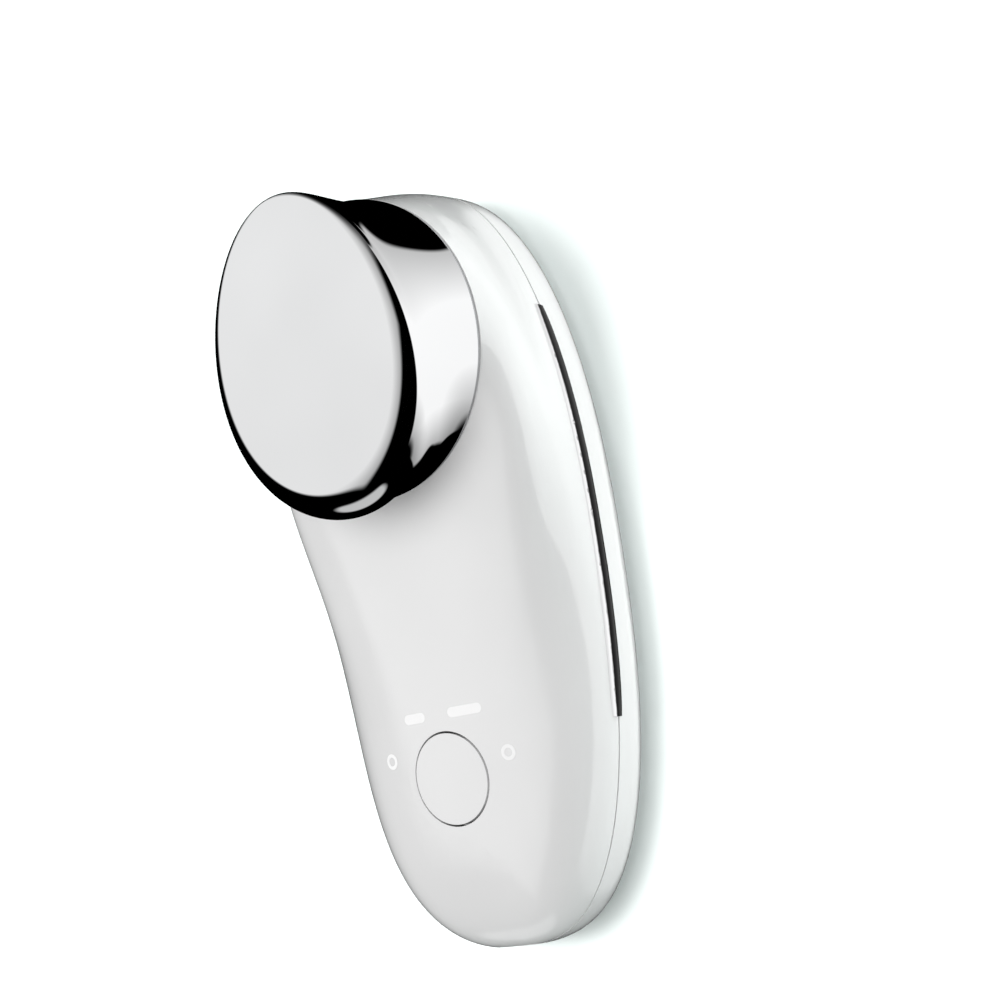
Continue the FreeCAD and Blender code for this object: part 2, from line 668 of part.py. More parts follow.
# Light bars set into the shell above their lamps
for name, place in zip(("light_bar_short", "light_bar_long"), light_places):
    save(name, light_prism(*place).common(outer))
lamps = []
for x, length in light_places:
    lamps.append(block((LED_SIDE, LED_SIDE, LED_HEIGHT), (x, BUTTON_Y + LIGHT_FROM_BUTTON), BOARD_TOP))
save("indicator_leds", Part.makeCompound(lamps))

# Main board, tapered to the socket, with clearance holes round the case columns
right_edge = [Vector(BOARD_NOSE, TAIL + BOARD_FROM_TAIL, BOARD_BOTTOM),
              Vector(BOARD_HALF_WIDTH, TAIL + BOARD_TAPER, BOARD_BOTTOM),
              Vector(BOARD_HALF_WIDTH, BOARD_HEAD, BOARD_BOTTOM)]
left_edge = [Vector(-p.x, p.y, p.z) for p in reversed(right_edge)]
board = Part.Face(Part.makePolygon(right_edge + left_edge + right_edge[:1])).extrude(UP * BOARD)
board_holes = [rod(Vector(x, y, 0), COLUMN_RADIUS + COLUMN_GAP, FAR) for x, y in case_places]
board_holes += [rod(Vector(x, y, 0), SMALL_SHANK + SHANK_GAP, FAR) for x, y in board_places]
save("main_board", board.cut(board_holes))
board_screws = []
for x, y in board_places:
    spot = Vector(x, y, BOARD_BOTTOM)
    board_screws.append(screw(spot, UP, SMALL_SHANK, BOARD + SMALL_BITE, SMALL_HEAD, SMALL_HEAD_THICK))
save("board_screws", Part.makeCompound(board_screws))

# Push switch under the button, and the plunger that travels with the button
switch = block((SWITCH_SIDE, SWITCH_SIDE, SWITCH_HEIGHT), (0, BUTTON_Y), BOARD_TOP)
switch = switch.cut(rod(button_axis + UP * (BOARD_TOP + PLUNGER_FLOOR), PLUNGER_RADIUS + PLUNGER_FIT, FAR))
save("push_switch", switch)
plunger_bottom = plunger_top - PLUNGER_RISE - PLUNGER_DEPTH + PLUNGER_FLOOR
save("switch_plunger", rod(button_axis + UP * plunger_bottom, PLUNGER_RADIUS, plunger_top - plunger_bottom))

# Control chip, coil and lead plug on the board
chip_y = BOARD_HEAD - CHIP_FROM_HEAD
save("control_chip", block((CHIP_SIDE, CHIP_SIDE, CHIP_HEIGHT), (0, chip_y), BOARD_TOP))
save("boost_coil", rod(Vector(COIL_X, chip_y, BOARD_TOP), COIL_RADIUS, COIL_HEIGHT))
plug_y = BOARD_HEAD - PLUG_FROM_HEAD - PLUG_SIZE[1] / 2
save("lead_plug", block(PLUG_SIZE, (0, plug_y), BOARD_TOP))

# Charging socket: folded metal sleeve round a moulded tongue, hung under the end of the board
sleeve = stadium(SOCKET_WIDTH, SOCKET_THICK, socket_mouth, SOCKET_DEPTH)
mouth = stadium(SOCKET_WIDTH - 2 * SOCKET_WALL, SOCKET_THICK - 2 * SOCKET_WALL, socket_mouth, SOCKET_DEPTH)
sleeve = sleeve.cut(mouth)
save("charging_socket", sleeve)
back_start = socket_mouth + Vector(0, SOCKET_DEPTH - SOCKET_BACK, 0)
back = stadium(SOCKET_WIDTH - 2 * SOCKET_WALL, SOCKET_THICK - 2 * SOCKET_WALL, back_start, SOCKET_BACK)
blade_length = SOCKET_DEPTH - BLADE_SETBACK - SOCKET_BACK / 2
blade = block((TONGUE_BLADE[0], blade_length, TONGUE_BLADE[1]),
              (0, socket_mouth.y + BLADE_SETBACK + blade_length / 2), SEAM_HEIGHT - TONGUE_BLADE[1] / 2)
save("socket_tongue", back.fuse(blade).removeSplitter())

# Battery cell on a foam strip between the cover's ribs
foam_size = (CELL_SIZE[0] - 2 * CELL_RIB, CELL_SIZE[1] - 2 * CELL_RIB, FOAM)
save("battery_foam", block(foam_size, (0, cell_y), WALL))
cell = block(CELL_SIZE, (0, cell_y), WALL + FOAM)
uprights = [e for e in cell.Edges if e.BoundBox.ZLength > FOAM]
save("battery_cell", cell.makeFillet(CELL_CORNER, uprights))

# Case screws from the back and the plugs over them
case_screws = []
screw_plugs = []
for x, y in case_places:
    spot = Vector(x, y, CASE_SINK)
    bite = SEAM_HEIGHT - CASE_SINK + CASE_BITE - SHANK_GAP
    case_screws.append(screw(spot, UP, CASE_SHANK, bite, CASE_HEAD_RADIUS, CASE_HEAD_THICK))
    screw_plugs.append(rod(Vector(x, y, PLUG_RECESS), SINK_RADIUS, PLUG_THICK))
save("case_screws", Part.makeCompound(case_screws))
save("screw_plugs", Part.makeCompound(screw_plugs))

# Ribbon leads: battery to plug, motor to board, heater through the seat to board
cell_end = Vector(0, cell_y + CELL_SIZE[1] / 2, WALL + FOAM + CELL_SIZE[2] - LEAD_THICK)
plug_end = Vector(0, plug_y + PLUG_SIZE[1] / 2, BOARD_TOP + PLUG_SIZE[2] / 2)
loop_y = BOARD_HEAD + LEAD_BEND
battery_run = [cell_end, Vector(0, loop_y, cell_end.z), Vector(0, loop_y, plug_end.z), plug_end]
save("battery_leads", ribbon(battery_run, LEAD_THICK, -LEAD_WIDTH / 2, LEAD_WIDTH / 2))
motor_end = motor_axis - along_x * (MOTOR_LENGTH / 2)
pad_y = BOARD_HEAD - LEAD_WIDTH
motor_run = [motor_end, Vector(0, pad_y, BOARD_TOP + LEAD_BEND), Vector(0, pad_y, BOARD_TOP)]
save("motor_leads", ribbon(motor_run, LEAD_WIDTH, motor_end.x - LEAD_THICK, motor_end.x))
heater_run = [SEAT.multVec(Vector(0, FACE_SHIFT, roof - HEATER)),
              SEAT.multVec(Vector(0, FACE_SHIFT, -LEAD_BEND)),
              Vector(0, pad_y, BOARD_TOP + LEAD_BEND), Vector(0, pad_y, BOARD_TOP)]
lead_left = heater_lead_x - LEAD_THICK / 2
save("heater_leads", ribbon(heater_run, LEAD_WIDTH, lead_left, lead_left + LEAD_THICK))
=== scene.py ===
import bmesh
import bpy
import json
import math
from mathutils import Matrix, Vector

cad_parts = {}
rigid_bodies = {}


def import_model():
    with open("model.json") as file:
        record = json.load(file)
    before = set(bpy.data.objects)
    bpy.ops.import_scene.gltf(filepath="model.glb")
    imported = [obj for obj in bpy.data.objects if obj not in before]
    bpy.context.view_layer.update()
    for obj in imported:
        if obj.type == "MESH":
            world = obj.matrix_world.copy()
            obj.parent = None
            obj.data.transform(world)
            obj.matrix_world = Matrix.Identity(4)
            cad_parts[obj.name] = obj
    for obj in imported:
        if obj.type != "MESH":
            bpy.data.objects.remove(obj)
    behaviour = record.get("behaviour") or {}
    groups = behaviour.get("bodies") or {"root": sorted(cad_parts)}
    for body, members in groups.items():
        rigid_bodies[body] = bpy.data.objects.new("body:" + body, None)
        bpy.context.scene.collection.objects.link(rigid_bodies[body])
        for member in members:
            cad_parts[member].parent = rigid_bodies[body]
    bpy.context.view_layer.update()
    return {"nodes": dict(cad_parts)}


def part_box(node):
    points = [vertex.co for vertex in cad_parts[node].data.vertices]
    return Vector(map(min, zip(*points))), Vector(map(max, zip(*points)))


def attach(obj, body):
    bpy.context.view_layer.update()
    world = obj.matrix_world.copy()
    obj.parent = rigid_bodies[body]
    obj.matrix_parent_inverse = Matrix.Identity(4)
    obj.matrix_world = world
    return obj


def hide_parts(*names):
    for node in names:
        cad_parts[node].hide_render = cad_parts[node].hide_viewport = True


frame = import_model()
nodes = frame["nodes"]

# Front shell: the upper half of the body with the raised seat for the head, injection-moulded
# in white plastic and polished. It closes on the rear cover at the seam, held by four screws.
SHELL_WHITE = (0.80, 0.80, 0.80)
SHELL_GLOSS = 0.22
SHELL_GRAIN = 1500
SHELL_GRAIN_DEPTH = 0.0000012
LACQUER_GLOSS = 0.04
LACQUER_BENDING = 1.65
CLOUD_MIDDLE = (0.3, 0.7)
GLOSS_CLOUD = 12
GLOSS_DRIFT = 0.15
DYE_CLOUD = 30
DYE_DRIFT = 0.012


def shader_of(material):
    """The material's shader."""
    return material.node_tree.nodes["Principled BSDF"]


def link(material, source, target):
    """Joins two sockets of a material."""
    material.node_tree.links.new(source, target)


def noise(material, grain, stretch=(1, 1, 1)):
    """Cloudy noise over the piece; grain is in clouds per metre and stretch draws it out."""
    tree = material.node_tree
    place = tree.nodes.new("ShaderNodeTexCoord")
    scale = tree.nodes.new("ShaderNodeMapping")
    scale.inputs["Scale"].default_value = [grain * s for s in stretch]
    cloud = tree.nodes.new("ShaderNodeTexNoise")
    cloud.inputs["Scale"].default_value = 1
    link(material, place.outputs["Object"], scale.inputs["Vector"])
    link(material, scale.outputs["Vector"], cloud.inputs["Vector"])
    return cloud.outputs["Fac"]


def spread(material, source, low, high):
    """The middle of a noise, spread between two values."""
    node = material.node_tree.nodes.new("ShaderNodeMapRange")
    node.inputs["From Min"].default_value = CLOUD_MIDDLE[0]
    node.inputs["From Max"].default_value = CLOUD_MIDDLE[1]
    node.inputs["To Min"].default_value = low
    node.inputs["To Max"].default_value = high
    link(material, source, node.inputs["Value"])
    return node.outputs["Result"]


def relief(material, height, depth):
    """Fine relief from a height between nought and one; depth is in metres."""
    bump = material.node_tree.nodes.new("ShaderNodeBump")
    bump.inputs["Strength"].default_value = 1
    bump.inputs["Distance"].default_value = depth
    link(material, height, bump.inputs["Height"])
    link(material, bump.outputs["Normal"], shader_of(material).inputs["Normal"])


def tinted(material, source, colour, change):
    """Lets the colour drift with a noise by a small share, as dye and plating do."""
    blend = material.node_tree.nodes.new("ShaderNodeMix")
    blend.data_type = "RGBA"
    blend.inputs["A"].default_value = (*[c * (1 - change) for c in colour], 1)
    blend.inputs["B"].default_value = (*[min(c * (1 + change), 1) for c in colour], 1)
    link(material, spread(material, source, 0, 1), blend.inputs["Factor"])
    link(material, blend.outputs["Result"], shader_of(material).inputs["Base Color"])


def surfaced(name, gloss, grain):
    """New material whose gloss drifts a little over the piece."""
    material = bpy.data.materials.new(name)
    material.use_nodes = True
    cloud = noise(material, grain / GLOSS_CLOUD)
    drift = spread(material, cloud, gloss * (1 - GLOSS_DRIFT), gloss * (1 + GLOSS_DRIFT))
    link(material, drift, shader_of(material).inputs["Roughness"])
    return material


def moulded(name, colour, gloss, grain, depth, change=DYE_DRIFT):
    """Moulded plastic or rubber: slight drift of colour and gloss over a fine grain."""
    material = surfaced(name, gloss, grain)
    tinted(material, noise(material, grain / DYE_CLOUD), colour, change)
    relief(material, noise(material, grain), depth)
    return material


def lacquered(name, colour):
    """Polished white plastic under a clear, hard lacquer."""
    material = moulded(name, colour, SHELL_GLOSS, SHELL_GRAIN, SHELL_GRAIN_DEPTH)
    shader_of(material).inputs["Coat Weight"].default_value = 1
    shader_of(material).inputs["Coat Roughness"].default_value = LACQUER_GLOSS
    shader_of(material).inputs["Coat IOR"].default_value = LACQUER_BENDING
    return material


def finish(material, *names):
    """Gives CAD nodes their material."""
    for name in names:
        mesh = nodes[name].data
        mesh.materials.clear()
        mesh.materials.append(material)


finish(lacquered("shell_white", SHELL_WHITE), "front_shell")

# Setting signs: two small rings beside the button, pad-printed on the shell in white ink.
# The print follows the curve of the shell and stands a hair above it.
SIGN_WHITE = (0.93, 0.93, 0.93)
SIGN_PLACES = {"sign_ring_left": (-0.0131, -0.0319), "sign_ring_right": (0.0128, -0.0335)}
SIGN_OUTER = 0.00135
SIGN_INNER = 0.00075
INK_HEIGHT = 0.00004
INK_FOOT = 0.00002
SIGN_STEPS = 48
CLEAR_OF_ALL = 1


def shell_point(x, y, lift):
    """Point on the shell's outside, raised by lift."""
    above = Vector((x, y, CLEAR_OF_ALL))
    _, spot, normal, _ = nodes["front_shell"].ray_cast(above, Vector((0, 0, -1)))
    return spot + normal * lift


def new_piece(name, build):
    """Puts a finished mesh into the scene under its name."""
    mesh = bpy.data.meshes.new(name)
    build.to_mesh(mesh)
    build.free()
    piece = bpy.data.objects.new(name, mesh)
    bpy.context.scene.collection.objects.link(piece)
    return piece


def printed_ring(name, centre):
    """Low ring of ink with four corners to its section."""
    build = bmesh.new()
    loops = []
    section = ((SIGN_OUTER, -INK_FOOT), (SIGN_OUTER, INK_HEIGHT),
               (SIGN_INNER, INK_HEIGHT), (SIGN_INNER, -INK_FOOT))
    for radius, lift in section:
        loop = []
        for step in range(SIGN_STEPS):
            turn = 2 * math.pi * step / SIGN_STEPS
            x = centre[0] + radius * math.cos(turn)
            y = centre[1] + radius * math.sin(turn)
            loop.append(build.verts.new(shell_point(x, y, lift)))
        loops.append(loop)
    for first, second in zip(loops, loops[1:] + loops[:1]):
        for step in range(SIGN_STEPS):
            after = (step + 1) % SIGN_STEPS
            build.faces.new((first[step], first[after], second[after], second[step]))
    return new_piece(name, build)


sign_ink = moulded("sign_ink", SIGN_WHITE, gloss=0.5, grain=4000, depth=0.000004)
for name, centre in SIGN_PLACES.items():
    sign = printed_ring(name, centre)
    sign.data.materials.append(sign_ink)
    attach(sign, "body")

# Light bars: two clear bars dyed milky white, pressed into slots of the shell from inside,
# where they carry the light of the lamps on the board to the front.
MILK_WHITE = (0.95, 0.95, 0.95)
MILK_SHARE = 0.2
MILK_REACH = (0.0008, 0.0008, 0.0008)
light_milk = moulded("light_milk", MILK_WHITE, gloss=0.3, grain=2500, depth=0.000003)
shader_of(light_milk).inputs["Subsurface Weight"].default_value = MILK_SHARE
shader_of(light_milk).inputs["Subsurface Radius"].default_value = MILK_REACH
finish(light_milk, "light_bar_short", "light_bar_long")

# Thumb button: a capped tube moulded in the shell's white, flush with the shell. It is put in
# from inside, slides in its collar and is kept from falling out by a flange.
finish(lacquered("button_white", SHELL_WHITE), "button_cap")

# Main board: glass-fibre board under green solder mask, with copper tracks showing through.
# It is hung from four bosses of the shell by small screws.
BOARD_GREEN = (0.02, 0.13, 0.05)
MASK_GLOSS = 0.35
MASK_GRAIN = 2500
MASK_GRAIN_DEPTH = 0.000004
TRACK_PITCH = 0.0016
TRACK_GAP = 0.08
TRACK_BRIGHTER = 1.4
GAP_DARKER = 0.6


def tracked(name, colour):
    """Solder mask over parallel and crossing copper tracks."""
    material = surfaced(name, MASK_GLOSS, MASK_GRAIN)
    relief(material, noise(material, MASK_GRAIN), MASK_GRAIN_DEPTH)
    tree = material.node_tree
    place = tree.nodes.new("ShaderNodeTexCoord")
    tracks = tree.nodes.new("ShaderNodeTexBrick")
    tracks.inputs["Scale"].default_value = 1 / TRACK_PITCH
    tracks.inputs["Mortar Size"].default_value = TRACK_GAP
    tracks.inputs["Color1"].default_value = (*colour, 1)
    tracks.inputs["Color2"].default_value = (*[c * TRACK_BRIGHTER for c in colour], 1)
    tracks.inputs["Mortar"].default_value = (*[c * GAP_DARKER for c in colour], 1)
    link(material, place.outputs["Object"], tracks.inputs["Vector"])
    link(material, tracks.outputs["Color"], shader_of(material).inputs["Base Color"])
    return material


finish(tracked("board_green", BOARD_GREEN), "main_board")

# Parts soldered to the board: the control chip in its black mould, the wound coil, the switch,
# the two lamps and the plug of the battery leads. The heater's sensor has the chip's black too.
CHIP_BLACK = (0.03, 0.03, 0.03)
COIL_BLACK = (0.05, 0.05, 0.055)
LED_YELLOW = (0.82, 0.80, 0.62)
PLUG_IVORY = (0.78, 0.76, 0.70)
chip_black = moulded("chip_black", CHIP_BLACK, gloss=0.55, grain=6000, depth=0.00001, change=0.15)
coil_black = moulded("coil_black", COIL_BLACK, gloss=0.6, grain=4000, depth=0.00002, change=0.2)
led_body = moulded("led_body", LED_YELLOW, gloss=0.3, grain=3000, depth=0.000004, change=0.04)
plug_plastic = moulded("plug_plastic", PLUG_IVORY, gloss=0.45, grain=3000, depth=0.000005, change=0.03)
finish(chip_black, "control_chip", "push_switch", "heat_sensor")
finish(coil_black, "boost_coil")
finish(led_body, "indicator_leds")
finish(plug_plastic, "lead_plug")

# Switch plunger: a grey moulded stud that stands out of the switch. The button's stem pushes it
# down and the switch's own spring lifts it again.
PLUNGER_GREY = (0.35, 0.35, 0.36)
plunger_plastic = moulded("plunger_plastic", PLUNGER_GREY, gloss=0.4, grain=3000, depth=0.000004,
                          change=0.05)
finish(plunger_plastic, "switch_plunger")

# Screws: pan-head steel screws with a cross slot, zinc-plated, that cut their own thread.
# They hold the board, the head, the motor cradle and, under the plugs, the case.
ZINC = (0.56, 0.57, 0.58)
METAL_DRIFT = 0.03


def worked(name, colour, gloss, grain, stretch, depth):
    """Metal with the fine lines that rolling, drawing or polishing leaves."""
    material = surfaced(name, gloss, grain)
    shader_of(material).inputs["Metallic"].default_value = 1
    tinted(material, noise(material, grain / DYE_CLOUD), colour, METAL_DRIFT)
    relief(material, noise(material, grain, stretch), depth)
    return material


screw_steel = worked("screw_steel", ZINC, gloss=0.32, grain=4000, stretch=(1, 1, 4), depth=0.000006)
finish(screw_steel, "board_screws", "head_screws", "cradle_screws", "case_screws")

# Charging socket: a folded and drawn steel sleeve round a black tongue, soldered under the
# tail end of the board, with its mouth a little inside the case. Gilt contacts lie on the tongue.
SLEEVE_STEEL = (0.62, 0.62, 0.63)
TONGUE_BLACK = (0.04, 0.04, 0.045)
GILT = (0.83, 0.62, 0.28)
CONTACT_COUNT = 6
CONTACT_WIDTH = 0.00045
CONTACT_PITCH = 0.00095
CONTACT_LENGTH = 0.0038
CONTACT_RAISE = 0.00003
CONTACT_SETBACK = 0.0005
CONTACT_ROUNDING = 2
socket_steel = worked("socket_steel", SLEEVE_STEEL, gloss=0.28, grain=3000, stretch=(1, 0.1, 1),
                      depth=0.000004)
tongue_black = moulded("tongue_black", TONGUE_BLACK, gloss=0.5, grain=4000, depth=0.000006, change=0.1)
finish(socket_steel, "charging_socket")
finish(tongue_black, "socket_tongue")


def contact_rows(name):
    """Gilt contact pads on both faces of the socket's tongue."""
    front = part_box("socket_tongue")[0].y + CONTACT_SETBACK
    low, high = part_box("charging_socket")
    middle = (low.z + high.z) / 2
    build = bmesh.new()
    for side in (-1, 1):
        start = Vector((0, front, middle + side * CLEAR_OF_ALL))
        _, spot, _, _ = nodes["socket_tongue"].ray_cast(start, Vector((0, 0, -side)))
        for index in range(CONTACT_COUNT):
            x = (index - (CONTACT_COUNT - 1) / 2) * CONTACT_PITCH
            pad = bmesh.ops.create_cube(build, size=1)["verts"]
            bmesh.ops.scale(build, verts=pad, vec=(CONTACT_WIDTH, CONTACT_LENGTH, 2 * CONTACT_RAISE))
            bmesh.ops.translate(build, verts=pad, vec=(x, front + CONTACT_LENGTH / 2, spot.z))
            edges = {edge for vert in pad for edge in vert.link_edges}
            bmesh.ops.bevel(build, geom=list(edges), offset=CONTACT_RAISE / 2, segments=CONTACT_ROUNDING,
                            profile=0.5, affect="EDGES")
    return new_piece(name, build)


contacts = contact_rows("socket_contacts")
contacts.data.materials.append(worked("contact_gilt", GILT, gloss=0.25, grain=4000, stretch=(1, 0.1, 1),
                                      depth=0.000002))
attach(contacts, "body")

# Vibration motor: a drawn steel can snapped up into a moulded cradle, which two screws hang
# under the head seat.
CRADLE_GREY = (0.55, 0.56, 0.57)
CAN_STEEL = (0.58, 0.58, 0.60)
inner_plastic = moulded("inner_plastic", CRADLE_GREY, gloss=0.45, grain=2500, depth=0.000006, change=0.04)
motor_steel = worked("motor_steel", CAN_STEEL, gloss=0.25, grain=2500, stretch=(0.1, 1, 1), depth=0.000004)
finish(inner_plastic, "motor_cradle")
finish(motor_steel, "motor_can")

# Rotor: the ground steel shaft and the half-round tungsten-alloy weight pressed on it, whose
# lopsided turning shakes the head.
SHAFT_STEEL = (0.66, 0.66, 0.67)
TUNGSTEN = (0.42, 0.41, 0.40)
shaft_steel = worked("shaft_steel", SHAFT_STEEL, gloss=0.15, grain=3000, stretch=(6, 1, 1), depth=0.000002)
weight_metal = worked("weight_metal", TUNGSTEN, gloss=0.4, grain=3000, stretch=(1, 1, 1), depth=0.00001)
finish(shaft_steel, "motor_shaft")
finish(weight_metal, "eccentric_weight")

# Massage head: a cast metal cup with a flat working face, polished and plated to a mirror. It is
# drawn anew to its CAD shape in fine, even steps, so that the plating mirrors without a ripple.
CHROME = (0.90, 0.905, 0.91)
SEAT_CENTRE = (0, 0.0371, 0.03169)
SEAT_TILT = math.radians(5.2)
HEAD_SEAT = Matrix.Translation(SEAT_CENTRE) @ Matrix.Rotation(SEAT_TILT, 4, "X")
HEAD_UP = HEAD_SEAT.to_3x3() @ Vector((0, 0, 1))
HEAD_HEIGHT = 0.015
FOOT_HALF_WIDTH = 0.026
FOOT_HALF_LENGTH = 0.0256
FOOT_EGG = 0.02
FOOT_HEIGHT = 0.0008
FACE_HALF_WIDTH = 0.0188
FACE_HALF_LENGTH = 0.0244
FACE_EGG = 0.08
FACE_SHIFT = 0.0017
FLARE_RISE = 0.004
FLARE_IN = 0.0016
RIM_RADIUS = 0.0032
RIM_TAIL_GAIN = 0.0022
GIRTH_DROP = 0.003
HEAD_WALL = 0.0026
FACE_WALL = 0.0016
POST_RADIUS = 0.0026
POST_PLACES = ((0, 0.018), (0.0145, -0.013), (-0.0145, -0.013))
HEAD_TURN_STEPS = 360
HEAD_RISE_STEPS = 48
POST_STEPS = 32
SMALL_TURN = 0.001
HEAD_SHARP = math.radians(35)


def seat_egg(turn, inset, height):
    """Point of the foot's egg outline, drawn in by inset, at a height above the seat."""
    x = (FOOT_HALF_WIDTH - inset) * math.cos(turn) * (1 + FOOT_EGG * math.sin(turn))
    y = (FOOT_HALF_LENGTH - inset) * math.sin(turn)
    return HEAD_SEAT @ Vector((x, y, height))


def face_egg(turn, grow, height):
    """Point of the face's egg outline, let out by grow, at a height above the seat."""
    x = (FACE_HALF_WIDTH + grow) * math.cos(turn) * (1 - FACE_EGG * math.sin(turn))
    y = FACE_SHIFT + (FACE_HALF_LENGTH + grow) * math.sin(turn)
    return HEAD_SEAT @ Vector((x, y, height))


def swept(steers, share):
    """Point on the curve that four points steer."""
    rest = 1 - share
    weights = (rest ** 3, 3 * rest ** 2 * share, 3 * rest * share ** 2, share ** 3)
    return sum((steer * weight for steer, weight in zip(steers, weights)), Vector())


def head_profile(turn):
    """The cup's section from the hollow's roof, round the foot and the rim, to the face's edge."""
    foot = seat_egg(turn, 0, FOOT_HEIGHT)
    run = seat_egg(turn + SMALL_TURN, 0, 0) - seat_egg(turn - SMALL_TURN, 0, 0)
    out = Vector((run.y, -run.x, 0)).normalized()
    rim = RIM_RADIUS - RIM_TAIL_GAIN * math.sin(turn)
    bow = rim * 4 * (math.sqrt(2) - 1) / 3
    girth = face_egg(turn, rim, HEAD_HEIGHT - rim)
    side = (foot, foot + HEAD_UP * FLARE_RISE - out * FLARE_IN, girth - HEAD_UP * GIRTH_DROP, girth)
    edge = (girth, girth + HEAD_UP * bow,
            face_egg(turn, bow, HEAD_HEIGHT), face_egg(turn, 0, HEAD_HEIGHT))
    roof = face_egg(turn, -FACE_WALL / 2, HEAD_HEIGHT - FACE_WALL)
    section = [roof, seat_egg(turn, HEAD_WALL, FOOT_HEIGHT)]
    section += [swept(side, step / HEAD_RISE_STEPS) for step in range(HEAD_RISE_STEPS)]
    section += [swept(edge, step / HEAD_RISE_STEPS) for step in range(HEAD_RISE_STEPS + 1)]
    return section


def head_cup(name):
    """The cup with its three screw posts."""
    build = bmesh.new()
    loops = []
    for step in range(HEAD_TURN_STEPS):
        section = head_profile(2 * math.pi * step / HEAD_TURN_STEPS)
        loops.append([build.verts.new(point) for point in section])
    for first, second in zip(loops, loops[1:] + loops[:1]):
        for step in range(len(first) - 1):
            build.faces.new((first[step], second[step], second[step + 1], first[step + 1]))
    build.faces.new([loop[-1] for loop in loops])
    build.faces.new([loop[0] for loop in loops])
    depth = HEAD_HEIGHT - FACE_WALL / 2
    for x, y in POST_PLACES:
        place = HEAD_SEAT @ Matrix.Translation((x, y, depth / 2))
        bmesh.ops.create_cone(build, cap_ends=True, segments=POST_STEPS, radius1=POST_RADIUS,
                              radius2=POST_RADIUS, depth=depth, matrix=place)
    bmesh.ops.recalc_face_normals(build, faces=build.faces)
    cup = new_piece(name, build)
    cup.data.shade_smooth()
    cup.data.set_sharp_from_angle(angle=HEAD_SHARP)
    return cup


head = head_cup("head_cup")
head.data.materials.append(worked("head_chrome", CHROME, gloss=0.02, grain=900, stretch=(1, 1, 1),
                                  depth=0.0000001))
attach(head, "body")
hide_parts("massage_head")

# Gasket: a soft grey silicone ring under the foot of the head, which keeps water out and the
# shake of the motor in the head.
SILICONE_GREY = (0.42, 0.42, 0.43)
gasket_silicone = moulded("gasket_silicone", SILICONE_GREY, gloss=0.5, grain=2500, depth=0.00001,
                          change=0.04)
finish(gasket_silicone, "head_gasket")

# Heater: an etched metal plate bonded under the face, pressed up by a foam pad with the
# temperature sensor let into it.
HEATER_BRONZE = (0.60, 0.52, 0.42)
FOAM_GREY = (0.22, 0.22, 0.23)
FOAM_GLOSS = 0.95
FOAM_GRAIN = 1500
FOAM_DRIFT = 0.1
FOAM_CELL = 0.0006
FOAM_CELL_DEPTH = 0.0002
FOAM_VOXEL = 0.0004
FOAM_SOFTEN = 6
heater_metal = worked("heater_metal", HEATER_BRONZE, gloss=0.35, grain=2000, stretch=(0.1, 1, 1),
                      depth=0.000006)
finish(heater_metal, "heater_plate")


def foam(name, colour):
    """Open-celled foam: matt, with a bubbled surface."""
    material = surfaced(name, FOAM_GLOSS, FOAM_GRAIN)
    tinted(material, noise(material, FOAM_GRAIN), colour, FOAM_DRIFT)
    tree = material.node_tree
    place = tree.nodes.new("ShaderNodeTexCoord")
    cells = tree.nodes.new("ShaderNodeTexVoronoi")
    cells.inputs["Scale"].default_value = 1 / FOAM_CELL
    link(material, place.outputs["Object"], cells.inputs["Vector"])
    relief(material, cells.outputs["Distance"], FOAM_CELL_DEPTH)
    return material


def soft_pad(name, node, material):
    """Foam piece in the space of its CAD node, with its edges and corners gone soft."""
    pad = bpy.data.objects.new(name, nodes[node].data.copy())
    bpy.context.scene.collection.objects.link(pad)
    remesh = pad.modifiers.new("even", "REMESH")
    remesh.mode = "VOXEL"
    remesh.voxel_size = FOAM_VOXEL
    soften = pad.modifiers.new("soften", "SMOOTH")
    soften.iterations = FOAM_SOFTEN
    graph = bpy.context.evaluated_depsgraph_get()
    formed = bpy.data.meshes.new_from_object(pad.evaluated_get(graph))
    pad.modifiers.clear()
    pad.data = formed
    formed.materials.clear()
    formed.materials.append(material)
    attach(pad, "body")
    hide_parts(node)


foam_grey = foam("foam_grey", FOAM_GREY)
soft_pad("heater_foam", "heater_pad", foam_grey)

# Contact strips: bowed strips of plated steel let into both sides along the seam, each held by
# two pegs that run through the case. The lower half of the bow has a painted dark reflection
# in its colour.
STRIP_PAINTED_REFLECTION = (0.001, 0.001, 0.001)
PAINTED_REFLECTION_BELOW = 0.015
PAINTED_REFLECTION_CLEAR_ABOVE = 0.065


def dark_reflection_painted(material, colour):
    """Paints a dark reflection into the metal's colour where its face leans downward."""
    tree = material.node_tree
    paint = shader_of(material).inputs["Base Color"]
    place = tree.nodes.new("ShaderNodeTexCoord")
    slope = tree.nodes.new("ShaderNodeSeparateXYZ")
    edge = tree.nodes.new("ShaderNodeMapRange")
    edge.inputs["From Min"].default_value = PAINTED_REFLECTION_BELOW
    edge.inputs["From Max"].default_value = PAINTED_REFLECTION_CLEAR_ABOVE
    both = tree.nodes.new("ShaderNodeMix")
    both.data_type = "RGBA"
    both.inputs["A"].default_value = (*colour, 1)
    link(material, place.outputs["Normal"], slope.inputs["Vector"])
    link(material, slope.outputs["Z"], edge.inputs["Value"])
    link(material, edge.outputs["Result"], both.inputs["Factor"])
    link(material, paint.links[0].from_socket, both.inputs["B"])
    link(material, both.outputs["Result"], paint)
    return material


strip_chrome = worked("strip_chrome", CHROME, gloss=0.03, grain=900, stretch=(1, 0.2, 1), depth=0.0000002)
# The strips' chrome goes dark where it leans down: a painted dark reflection, not a black finish.
finish(dark_reflection_painted(strip_chrome, STRIP_PAINTED_REFLECTION), "electrode_strip_right", "electrode_strip_left")

# Spring leaves: two strips stamped from brass sheet and soldered to the board. They reach out
# to the pegs of the contact strips and press on them.
BRASS = (0.78, 0.60, 0.30)
contact_brass = worked("contact_brass", BRASS, gloss=0.3, grain=2500, stretch=(0.1, 1, 1), depth=0.000003)
finish(contact_brass, "strip_contacts")

